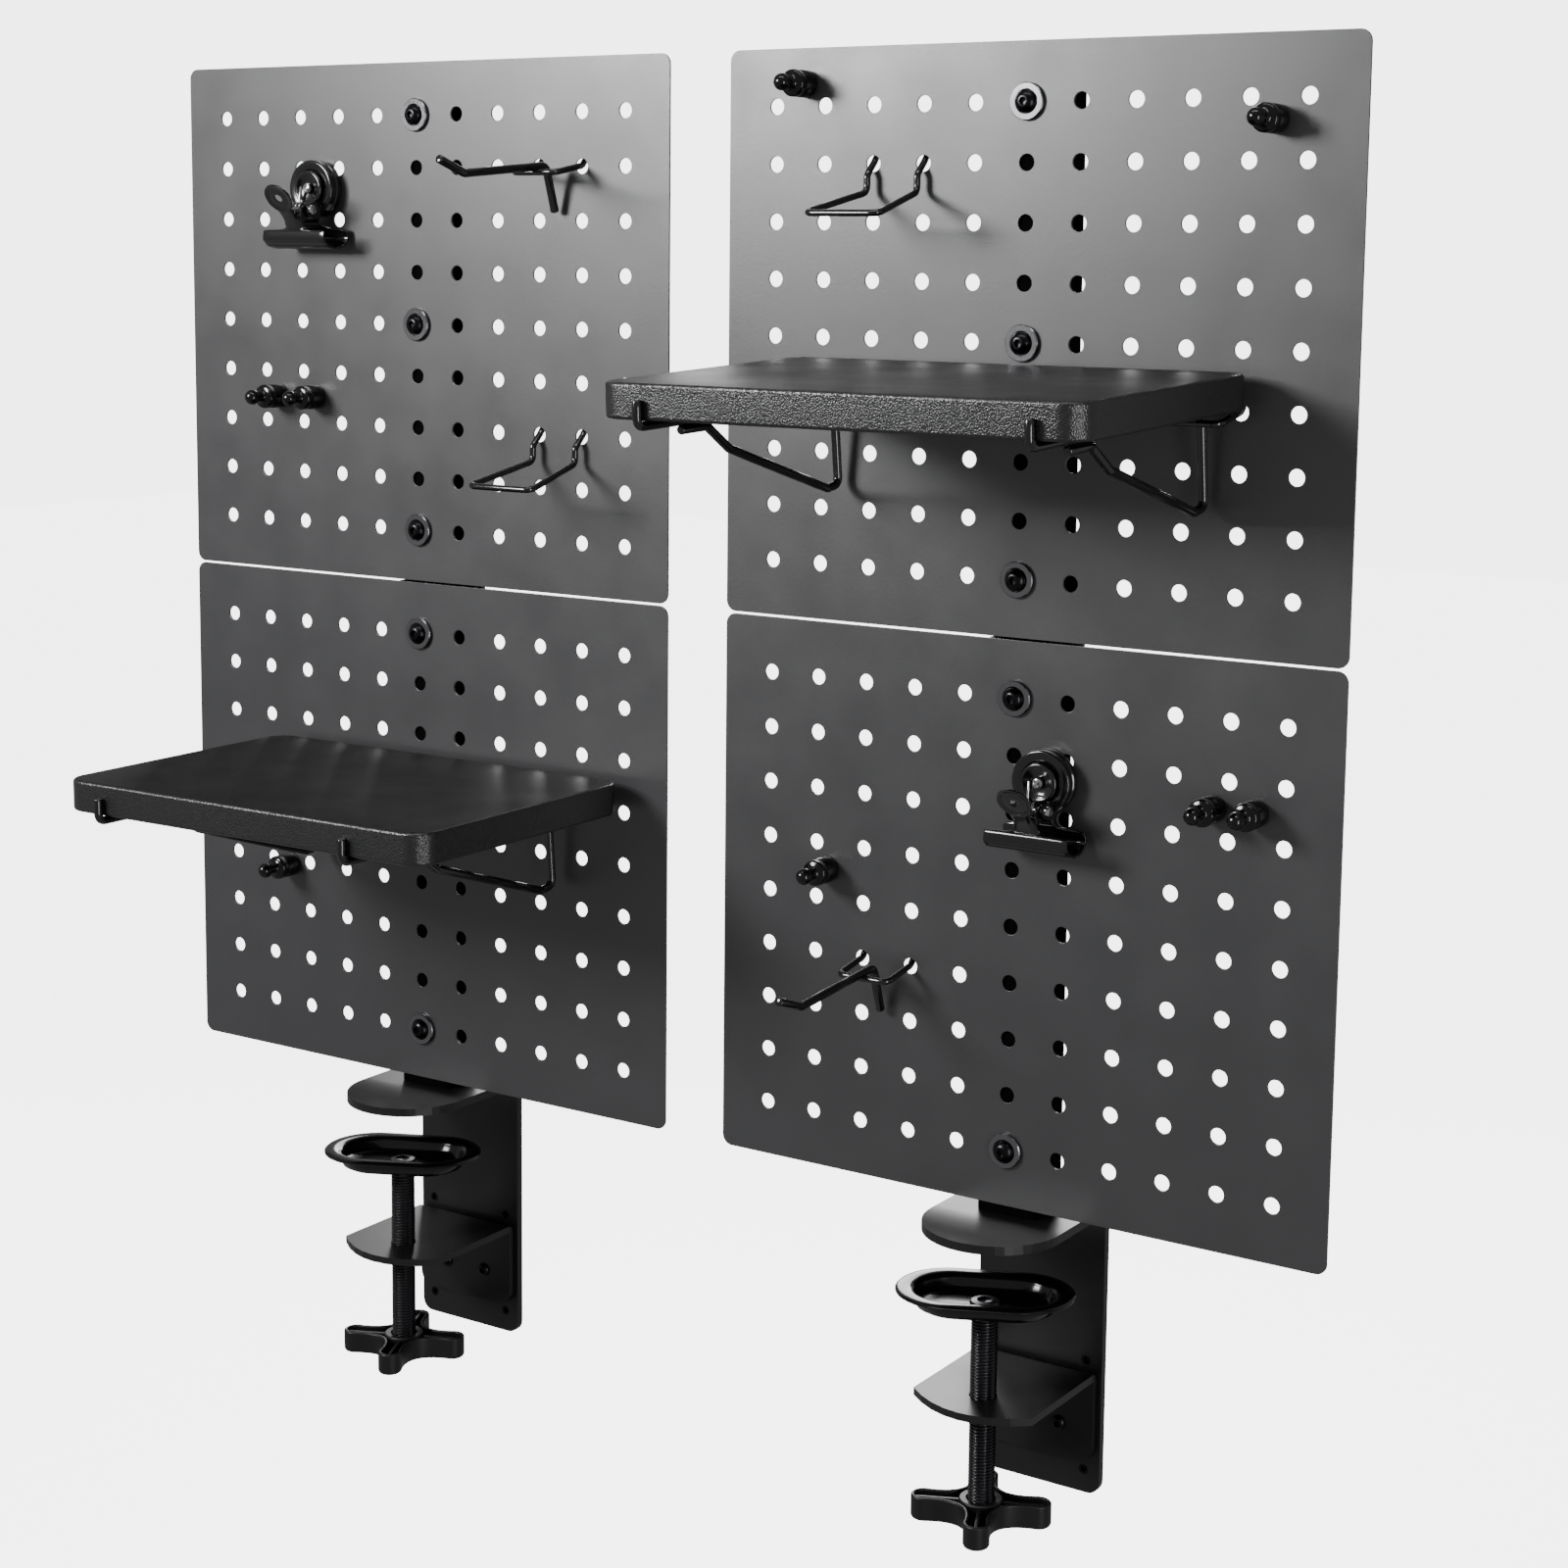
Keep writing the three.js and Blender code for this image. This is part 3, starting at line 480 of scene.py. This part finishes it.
def clamp_pad(side):
    """The pressed oval pad: a dish with a rolled rim."""
    matrix = at(TOWER_X[side], SPINDLE_Y, PAD_TOP) @ Matrix.Rotation(TURN, 4, "Z")
    # from the hole in the floor, up the dish, over the rolled rim and back under the floor
    section = [
        (0, 4.1, -7.0),
        (1.0, 7.5, -7.0),
        (9.5, 13.0, -7.0),
        (12.5, 15.2, -6.7),
        (13.6, 16.2, -5.4),
        (14.0, 16.9, -2.4),
        (14.4, 17.6, -0.9),
        (15.0, 18.8, -0.2),
        (15.0, 20.5, 0),
        (15.0, 22.8, 0),
        (15.0, 24.3, -0.25),
        (15.0, 25.0, -0.9),
        (15.0, 24.9, -1.6),
        (15.0, 24.0, -2.1),
        (15.0, 21.0, -2.2),
        (14.2, 18.6, -2.6),
        (14.0, 18.0, -4.5),
        (13.6, 17.0, -7.8),
        (12.5, 15.6, -8.9),
        (9.5, 13.0, -9.0),
        (1.0, 7.5, -9.0),
        (0, 4.1, -9.0),
        (0, 4.1, -7.0),
    ]
    pad = tube_rings(f"pressed_pad_{side}", [oval(s, r, h) for s, r, h in section], matrix, 50, False)
    return stand_in(pad, f"clamp_pad_{side}")


def clamp_screw(side):
    """The threaded spindle, its neck through the pad and the swaged head in the dish."""
    pitch, depth, radius = 1.5, 0.75, 6.0
    steps, count = 8, 48
    low, high = -130.7, -36.0
    turns = int((high - low) / pitch * steps)
    rings = []
    for i in range(turns + 1):
        z = low + pitch * i / steps
        # the thread runs out over about 2 mm at each end
        full = min(1.0, (z - low) / 2, (high - z) / 2 + 0.3)
        ring = []
        for k in range(count):
            phase = (z / pitch - k / count) % 1.0
            wave = min(1.0, max(0.0, 1.6 * abs(2 * phase - 1) - 0.25))
            r = radius - depth * (1 - wave * full)
            turn = 2 * math.pi * k / count
            ring.append((r * math.cos(turn), r * math.sin(turn), z))
        rings.append(ring)
    neck = [(5.3, -35.8), (5.0, -34.4), (3.7, -34.3), (3.7, -31.7), (6.4, -31.7)]
    neck += [(6.9, -31.2), (6.1, -30.2), (3.6, -29.9), (2.7, -30.6), (0.02, -30.9)]
    rings += [circle(r, h, count) for r, h in neck]
    place = at(TOWER_X[side], SPINDLE_Y, 0)
    spindle = tube_rings(f"threaded_spindle_{side}", rings, place, 42)
    return stand_in(spindle, f"clamp_spindle_{side}", material=THREAD)


def star(tip_reach, tip, valley, points=14):
    """A four-armed outline, its tips round and its sides hollow."""
    reach = tip_reach - tip
    outline = []
    for turn in (0, 90, 180, 270):
        here, halfway, ahead = (math.radians(turn + more) for more in (0, 45, 90))
        x, y = reach * math.cos(here), reach * math.sin(here)
        outline += arc(x, y, tip, turn - 90, turn + 90, points)
        start = Vector(outline[-1])
        x = reach * math.cos(ahead) + tip * math.sin(ahead)
        y = reach * math.sin(ahead) - tip * math.cos(ahead)
        end = Vector((x, y))
        inward = 2 * valley - (reach + tip) * math.sqrt(0.5)
        pull = Vector((math.cos(halfway), math.sin(halfway))) * inward
        for k in range(1, points):
            t = k / points
            outline.append(tuple((1 - t) ** 2 * start + 2 * t * (1 - t) * pull + t**2 * end))
    return outline


def clamp_knob(side):
    """The moulded star: a wall round a floor, a hub, and a rib along each arm."""
    place = at(TOWER_X[side], SPINDLE_Y, KNOB_TOP) @ Matrix.Rotation(TURN, 4, "Z")
    reach, tip, valley = 31.5, 6, 13
    wall, inset = 1.8, 0.2
    outer = star(reach, tip, valley)
    inner = star(reach - wall, tip - wall, valley - wall)
    base = star(reach - inset, tip - inset, valley - inset)
    walls = plate(f"star_knob_{side}", [outer, inner], 10.2, 0.8, place @ at(0, 0, -5.1), 3)
    floor = plate("floor", [base], 3.4, 1.3, place @ at(0, 0, -9.3), 3)
    hub_profile = [(6.45, -9), (6.45, -0.6), (6.9, 0), (9.4, 0), (10, -0.6), (10, -9)]
    hub = turned("hub", hub_profile, place, 48, 35, False)
    ribs = []
    for turn in (0, 90, 180, 270):
        arm = place @ Matrix.Rotation(math.radians(turn), 4, "Z") @ at(0, 0, -4.9)
        ribs.append(plate("rib", [rounded(9.5, -0.9, 30.8, 0.9, 0.5, 3)], 7.2, 0.4, arm))
    return stand_in(joined([walls, floor, hub, *ribs]), f"clamp_knob_{side}")


def flange_screws(side):
    """The two small screws that hold the lower arm's flange to the back plate."""
    sizes = {"head": 7.0, "height": 2.0, "socket": 2.4, "shank": 3.4, "length": 6.0}
    for number, x in enumerate(FLANGE_SCREW_X, 1):
        matrix = at(TOWER_X[side] + x, -3.8, ARM_TOP - FLANGE_SCREW_DROP) @ FACING_USER
        screw = button_screw(f"flange_screw_{side}_{number}", matrix, **sizes)
        detail(screw, f"clamp_arm_{side}", "screw")


def plate_screws(side):
    """The socket set screws in the four tapped holes of a clamp's back plate."""
    profile = [(2.5, -3.0), (2.5, -0.5), (2.2, -0.15), (1.4, -0.15), (1.35, -1.8), (0.02, -2.0)]
    for number, (x, z) in enumerate(TAPPED_HOLES, 1):
        matrix = at(TOWER_X[side] + x, 0, z) @ FACING_USER
        screw = turned(f"set_screw_{side}_{number}", profile, matrix, 32, 30)
        detail(screw, f"clamp_frame_{side}", "screw")


# ---------------------------------------------------------------- wires
def tail(sign):
    """A hook's end in its hole, on the -1 side or the +1 side, from the hidden tip outwards."""
    return [(sign * PITCH / 2, 7, 8), (sign * PITCH / 2, 0.5, 0.3)]


def both_sides(half):
    """A symmetric wire from one half's corners, given for the -1 side and the +1 side."""
    return half(-1) + half(1)[::-1]


def loop_hook(side, column, row):
    """A wire loop that leans out from two holes of an upper panel."""

    def half(sign):
        x = sign * PITCH / 2
        return tail(sign) + [(x, -5, -5), (x, -5, -12.5), (sign * 18.5, -46, -22)]

    place = at(*hole_at(side, "upper", column, row))
    hook = wire(f"loop_wire_{side}", both_sides(half), HOOK_WIRE, HOOK_BEND, place)
    return stand_in(hook, f"loop_hook_{side}")


def cross_bar(name, fall, matrix):
    """The short wire that carries a prong or a rail, from one hole to the other."""

    def half(sign):
        return tail(sign) + [(sign * PITCH / 2, -20, -fall)]

    return wire(name, both_sides(half), HOOK_WIRE, HOOK_BEND, matrix)


def prong_hook(side, level, column, row):
    """A single prong with a raised end, on its cross bar."""
    place = at(*hole_at(side, level, column, row))
    corners = [(0, -88, 1), (0, -70, -5), (0, -11, 0), (0, -4, -21.5)]
    prong = wire(f"prong_wire_{side}", corners, RAIL_WIRE, RAIL_BEND, place)
    bar = cross_bar("bar", 3.3, place)
    return stand_in(joined([prong, bar]), f"prong_hook_{side}")


def shelf_bracket(side, column, number, place):
    """A rail with a raised lip in front, its brace bent back under it, on its cross bar."""
    matrix = place @ at(TOWER_X[side] + (column - MIDDLE_COLUMN) * PITCH, 0, 0)
    corners = [
        (0, -156.3, 10.7),
        (0, -156.3, -0.3),
        (0, -10, -0.3),
        (0, -7, -39),
        (0, -16, -40),
        (0, -92, -15),
        (0, -108, -4.1),
        (0, -127, -4.1),
    ]
    rail = wire(f"bracket_wire_{side}_{number}", corners, RAIL_WIRE, RAIL_BEND, matrix)
    bar = cross_bar("bar", 3.1, matrix)
    return stand_in(joined([rail, bar]), f"shelf_bracket_{side}_{number}")


# ---------------------------------------------------------------- shelves
def shelf(side, level, row, columns, middle):
    """A board on two brackets, its faces laminate and its edges banded."""
    line = hole_at(side, level, MIDDLE_COLUMN, row)
    place = at(0, line.y, line.z) @ Matrix.Rotation(RAKE[side], 4, "X")
    for number, column in enumerate(columns, 1):
        shelf_bracket(side, column, number, place)
    left, right = middle - BOARD_WIDTH / 2, middle + BOARD_WIDTH / 2
    outline = rounded(left, BOARD_BACK - BOARD_DEPTH, right, BOARD_BACK, 12, 16)
    seated = place @ at(0, 0, BOARD_SEAT + BOARD_THICK / 2)
    top = plate(f"shelf_{side}", [outline], BOARD_THICK, 1.5, seated, 4)
    stand_in(top, f"shelf_board_{side}")
    top.data.materials.append(EDGING)
    normal = place.to_3x3() @ Vector((0, 0, 1))
    for face in top.data.polygons:
        face.material_index = 0 if abs(face.normal.dot(normal)) > 0.9 else 1
    return top


# ---------------------------------------------------------------- magnetic pins
def magnet_pin(side, number):
    """A pin shaped like a pawn: a grooved foot, a waist and a round head."""
    low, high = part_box(f"magnet_pin_{side}_{number}")
    centre = (low + high) / 2 / MM
    profile = [(5.5, 0.3), (5.95, 0.7), (6, 1.2), (6, 8.2), (5.75, 8.6), (5.75, 9.0)]
    profile += [(6, 9.4), (6, 11.6)]
    profile += arc(4.6, 11.6, 1.4, 0, 70, 5)
    profile += [(4.5, 13.1), (3.6, 13.4), (2.9, 14.0), (2.45, 14.8), (2.3, 15.9), (2.45, 16.9)]
    profile += arc(0, 20.2, 3.8, -50, 88, 16)
    matrix = at(centre.x, PANEL_FRONT, centre.z) @ FACING_USER
    pin = turned(f"pawn_pin_{side}_{number}", profile, matrix, 48, 60)
    return stand_in(pin, f"magnet_pin_{side}_{number}")


# ---------------------------------------------------------------- magnetic clips
def sheet_strip(name, rows, matrix, thickness=1.0, columns=14):
    """Sheet metal bent along its length: rows of (y, z, half width, how far the edges go back)."""
    fine = []
    for i in range(len(rows) - 1):
        near = [rows[min(max(i + k, 0), len(rows) - 1)] for k in (-1, 0, 1, 2)]
        a, b, c, d = (Vector(row) for row in near)
        for step in range(6):
            t = step / 6
            square = (2 * a - 5 * b + 4 * c - d) * t**2
            cube = (3 * b - a - 3 * c + d) * t**3
            fine.append(0.5 * (2 * b + (c - a) * t + square + cube))
    fine.append(Vector(rows[-1]))
    points, faces = [], []
    for y, z, half, back in fine:
        for k in range(columns + 1):
            share = 2 * k / columns - 1
            points.append((share * half, y + back * share**4, z))
    for i in range(len(fine) - 1):
        for k in range(columns):
            first = i * (columns + 1) + k
            faces.append((first, first + 1, first + columns + 2, first + columns + 1))
    obj = make(name, points, faces, matrix, 60)
    thick = obj.modifiers.new("sheet", "SOLIDIFY")
    thick.thickness = thickness * MM
    thick.offset = 0
    rim = obj.modifiers.new("deburred rim", "BEVEL")
    rim.width = 0.22 * MM
    rim.segments = 2
    return obj


def ear_plate(name, outline, x, matrix):
    """A flat side plate of a clip from its (y, z) outline, x to one side of the middle."""
    turn = Matrix(((0, 0, 1, 0), (1, 0, 0, 0), (0, 1, 0, 0), (0, 0, 0, 1)))
    return plate(name, [outline], 0.9, 0.2, matrix @ at(x, 0, 0) @ turn)


def magnet_cup(side, place):
    """The pressed cup round the magnet, and the screw head in its middle."""
    facing = place @ FACING_USER
    cup = [(13.4, 0.3), (14, 0.8), (14, 3.4), (13.6, 3.8), (13.6, 4.4), (14, 4.8), (14, 7.5)]
    cup += arc(13.1, 7.5, 0.9, 0, 90, 4)
    cup += [(12.9, 8.4), (9.7, 8.4), (9.4, 8.25), (9.15, 7.7), (8.8, 7.5)]
    cup += [(2, 7.5), (2, 8.8), (0.02, 8.8)]
    stand_in(turned(f"magnet_cup_{side}", cup, facing, 64, 28), f"clip_magnet_{side}")
    stud = [(2.5, 9.8), (2.55, 10.4), (2.3, 11.0), (1.9, 11.3), (1.5, 11.35)]
    stud += [(1.35, 11.0), (0.9, 10.95), (0.02, 11.25)]
    screw = turned(f"cup_screw_{side}", stud, facing, 40, 30)
    detail(screw, f"clip_magnet_{side}", "rivet")


def rear_leaf(side, place):
    """The leaf on the cup: a dished head, a neck widening to the rear jaw, and two ears."""
    dish = [(2.3, 8.95), (3.4, 9.0), (5.6, 9.5), (6.9, 10.3), (7.8, 10.65), (8.5, 10.4)]
    dish += [(8.8, 9.8), (8.7, 9.1), (8.0, 8.95), (2.3, 8.85), (2.3, 8.95)]
    head = turned(f"clip_rear_{side}", dish, place @ FACING_USER, 56, 50, False)
    rows = [
        (-9.3, -5, 5.2, 0),
        (-9.3, -12, 6, 0),
        (-9, -15.4, 6.4, 0),
        (-7.4, -17.9, 7.2, 0),
        (-5.2, -19.6, 10, 0),
        (-4.2, -20.2, 18.5, 0),
        (-3.4, -21.8, 20, 0),
        (-3.4, -25, 20.25, 0),
        (-6.2, -28, 20.25, 0),
        (-10.9, -29.4, 20.2, 0),
    ]
    neck = sheet_strip("rear strip", rows, place)
    outline = [(-9, -6.5), (-9, -15.5), (-13, -15), (-18, -13.1)]
    outline += [(-18.6, -10.5), (-18, -8.1), (-13, -6.9)]
    ears = [ear_plate("ear", outline, x, place) for x in (-7, 7)]
    stand_in(joined([applied(head), applied(neck), *ears]), f"clip_rear_leaf_{side}")


def front_leaf(side, place):
    """The leaf that is squeezed: an eyelet, a lever widening to the front jaw, and two cheeks."""
    rows = [
        (-27.2, -10.8, 4.2, 0.6),
        (-24.2, -13.8, 4.6, 1.2),
        (-22, -16.4, 5.2, 1.4),
        (-20.2, -19, 6, 1.2),
        (-19.7, -20.2, 7.4, 0.8),
        (-19.9, -20.8, 10.5, 0.4),
        (-20.2, -21.1, 19.3, 0.1),
        (-20.6, -22.2, 20, 0),
        (-20.6, -25.2, 20.25, 0),
        (-19.5, -26.3, 20.25, 0),
        (-17.4, -28.2, 20.25, 0),
        (-12.1, -29.4, 20.2, 0),
    ]
    lever = sheet_strip(f"clip_front_{side}", rows, place)
    rim = [(2.1, 0.45), (2.1, -0.1), (3.0, -0.35), (4.6, 0.1), (6.2, 0.1), (7.2, -0.5)]
    rim += [(7.9, -0.45), (8.1, 0.1), (7.7, 0.75), (6.6, 0.95), (4.6, 0.9), (2.9, 0.55)]
    rim.append(rim[0])
    leaning = place @ at(0, *EYELET) @ Matrix.Rotation(SLOPE - math.pi, 4, "X")
    eyelet = turned("eyelet", rim, leaning, 48, 60, False)
    outline = [(-21.6, -14), (-20.4, -18.4), (-16, -13.9), (-13.6, -11.7)]
    outline += [(-13.2, -9.9), (-14.6, -8.1), (-17.4, -7.9), (-22.8, -10.6)]
    cheeks = [ear_plate("cheek", outline, x, place) for x in (-5.2, 5.2)]
    stand_in(joined([applied(lever), eyelet, *cheeks]), f"clip_front_leaf_{side}")


def pivot_rivet(side, place):
    """The rivet through both leaves, headed at each end."""
    pin = [(1.2, -9.6), (2.2, -9.3), (2.5, -8.4), (2.4, -7.8), (1.5, -7.7)]
    pin += [(r, -h) for r, h in reversed(pin)]
    rivet = turned(f"clip_rivet_{side}", pin, place @ at(0, *PIVOT) @ ALONG_X, 32, 40)
    stand_in(rivet, f"clip_pivot_{side}")


def torsion_spring(side, place):
    """The coil round the rivet, with a tail along each leaf."""
    turns, sides, reach, width = 3, 16, 3.2, 7.2
    coil = []
    for i in range(turns * sides + 1):
        angle = 2 * math.pi * i / sides
        y, z = PIVOT[0] + reach * math.cos(angle), PIVOT[1] + reach * math.sin(angle)
        coil.append(Vector((-width / 2 + width * i / (turns * sides), y, z)))
    rear_tail = [Vector((-3.8, -10.9, 0.8)), Vector((-3.8, -12.0, -6.0))]
    front_tail = [Vector((3.8, -14.5, -13.9)), Vector((3.8, -20.6, -16.8))]
    points = rear_tail + coil + front_tail
    stand_in(tube(f"torsion_spring_{side}", points, 1.2, place, 12), f"clip_spring_{side}")


def clip(side):
    """A magnetic bulldog clip, built from the middle of its magnet on the panel's face."""
    low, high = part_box(f"clip_magnet_{side}")
    centre = (low + high) / 2 / MM
    place = at(centre.x, PANEL_FRONT, centre.z)
    magnet_cup(side, place)
    rear_leaf(side, place)
    front_leaf(side, place)
    pivot_rivet(side, place)
    torsion_spring(side, place)


# ---------------------------------------------------------------- assembly
for tower in ("left", "right"):
    for level in ("upper", "lower"):
        peg_panel(tower, level)
    for number, (level, row) in enumerate(BOLTS, 1):
        panel_bolt(tower, level, row, number)
    clamp_pad(tower)
    clamp_screw(tower)
    clamp_knob(tower)
    flange_screws(tower)
    plate_screws(tower)
    clip(tower)

loop_hook("left", 9.5, 7)
loop_hook("right", 3.5, 2)
prong_hook("left", "upper", 9.5, 2)
prong_hook("right", "lower", 3.5, 6)
shelf("left", "lower", 4, (3.5, 9.5), -148.0)
shelf("right", "upper", 6, (2.5, 9.5), 168.1)
for tower, count in (("left", 3), ("right", 5)):
    for number in range(1, count + 1):
        magnet_pin(tower, number)

# CAD nodes that are shown as they are, with their edges eased
for node, obj in frame["nodes"].items():
    obj.data.materials.clear()
    obj.data.materials.append(MATERIALS[SLOT_OF[node]])
    if node.startswith(("post_upper", "post_lower")):
        # painted shade: the posts' fronts and sides take the near-black matte, and only their backs
        # keep the satin powder coat
        obj.data.materials.append(POST_SHADE_BLACK)
        turned_to_world = obj.matrix_world.to_3x3()
        for face in obj.data.polygons:
            face.material_index = 0 if (turned_to_world @ face.normal).y > 0.9 else 1
    if not obj.hide_render:
        obj.data.shade_smooth()
        obj.data.set_sharp_from_angle(angle=math.radians(30))
        ease = obj.modifiers.new("eased edges", "BEVEL")
        ease.width = 0.8 * MM
        ease.segments = 3
        ease.limit_method = "ANGLE"
        ease.angle_limit = math.radians(40)
        ease.harden_normals = True


# ---------------------------------------------------------------- floor, light and camera
def pale_floor():
    """A pale plain floor at a desk's height below the clamps."""
    half, drop = 9000, -760
    corners = [(-half, -half, drop), (half, -half, drop), (half, half, drop), (-half, half, drop)]
    floor = make("floor", corners, [(0, 1, 2, 3)])
    paint = surface("pale_floor_paint", "#f4f4f4", 0.7, specular=0.2)
    shader = paint.node_tree.nodes["Principled BSDF"]
    shader.inputs["Emission Color"].default_value = linear("#ffffff")
    shader.inputs["Emission Strength"].default_value = BACKDROP_STRENGTH
    floor.data.materials.append(paint)
    # the floor shines for the eye alone, so that it throws no light up at the object
    floor.visible_diffuse = False
    floor.visible_glossy = False


def softbox(name, location, target, size, power):
    """A rectangular lamp aimed at a point, its place and size in metres."""
    data = bpy.data.lights.new(name, "AREA")
    data.shape = "RECTANGLE"
    data.size, data.size_y = size
    data.energy = power
    lamp = bpy.data.objects.new(name, data)
    bpy.context.scene.collection.objects.link(lamp)
    lamp.location = location
    lamp.rotation_euler = (Vector(target) - Vector(location)).to_track_quat("-Z", "Y").to_euler()


pale_floor()
softbox("key", (-0.74, -1.2, 0.81), (-0.05, 0, 0.4), (0.45, 0.4), 26)
softbox("top strip", (0.2, -0.7, 1.9), (0, 0, 0.2), (1.6, 0.4), 9)
softbox("back fill", (-1.0, 1.9, 0.9), (0, 0, 0.2), (1.2, 1.2), 34)
softbox("right strip", (1.5, -0.85, 0.05), (0, 0, 0.0), (0.25, 1.0), 9)

world = bpy.data.worlds.new("studio")
bpy.context.scene.world = world
world.use_nodes = True
tree = world.node_tree
tree.nodes.clear()
seen = add(tree, "ShaderNodeLightPath").outputs["Is Camera Ray"]
glow = {"Color": linear("#ffffff"), "Strength": BACKDROP_STRENGTH}
white = add(tree, "ShaderNodeBackground", glow)
dim = add(tree, "ShaderNodeBackground", {"Color": linear("#e8e8e8"), "Strength": 0.35})
mix = add(tree, "ShaderNodeMixShader", {"Fac": seen})
tree.links.new(dim.outputs[0], mix.inputs[1])
tree.links.new(white.outputs[0], mix.inputs[2])
add(tree, "ShaderNodeOutputWorld", {"Surface": mix.outputs[0]})

camera = bpy.data.objects.new("camera", bpy.data.cameras.new("camera"))
bpy.context.scene.collection.objects.link(camera)
bpy.context.scene.camera = camera
forward = Vector((-0.5451, 0.8276, -0.1341)).normalized()
right = forward.cross(Vector((-0.0823, 0.1064, 0.9909))).normalized()
upward = right.cross(forward)
axes = Matrix((right, upward, -forward)).transposed().to_4x4()
camera.matrix_world = Matrix.Translation((0.7494, -1.1004, 0.4306)) @ axes
camera.data.sensor_width = 36.0
camera.data.lens = 64.68
camera.data.shift_y = -0.1
